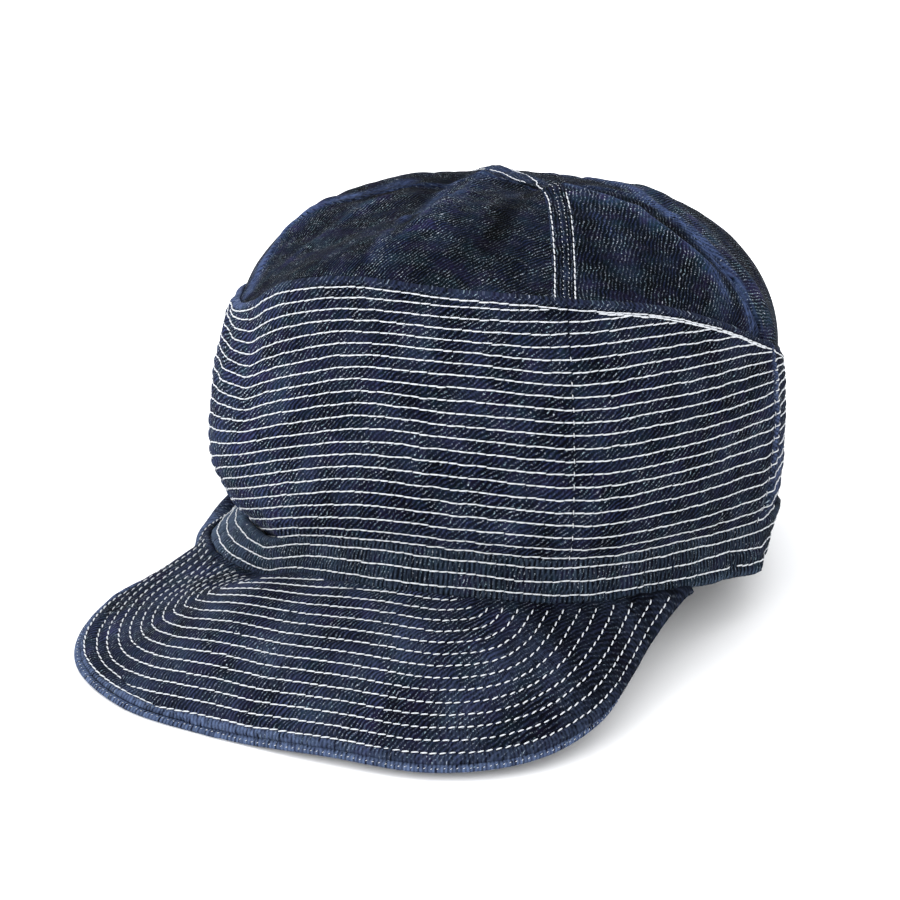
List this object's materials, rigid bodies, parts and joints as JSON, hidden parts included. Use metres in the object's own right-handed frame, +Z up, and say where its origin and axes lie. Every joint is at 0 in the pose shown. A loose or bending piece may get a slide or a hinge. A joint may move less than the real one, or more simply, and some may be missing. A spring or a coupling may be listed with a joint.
{
  "type": "denim cap",
  "caption": "Soft denim cap: plain panelled crown, high side band and drooping visor quilted with close rows of pale stitching.",
  "frame": {"origin": "middle of the cap's box on the floor that it rests on", "axes": "+Z up from the floor, -Y where the visor points, +X the wearer's left"},
  "size_m": [0.198, 0.263, 0.148],
  "materials": {
    "crown_denim": "plain indigo denim, matt",
    "band_denim": "indigo denim with rows of off-white stitching, matt",
    "visor_denim": "washed indigo denim with rows of off-white stitching, matt"
  },
  "bodies": {
    "root": {"bottom_band": "band_denim", "band_panel_front": "band_denim", "band_panel_left": "band_denim", "band_panel_back": "band_denim", "band_panel_right": "band_denim", "crown_panel_front": "crown_denim", "crown_panel_left": "crown_denim", "crown_panel_back": "crown_denim", "crown_panel_right": "crown_denim", "crown_seam_strip": "crown_denim", "visor_top": "visor_denim", "visor_under": "visor_denim"}
  },
  "joints": []
}
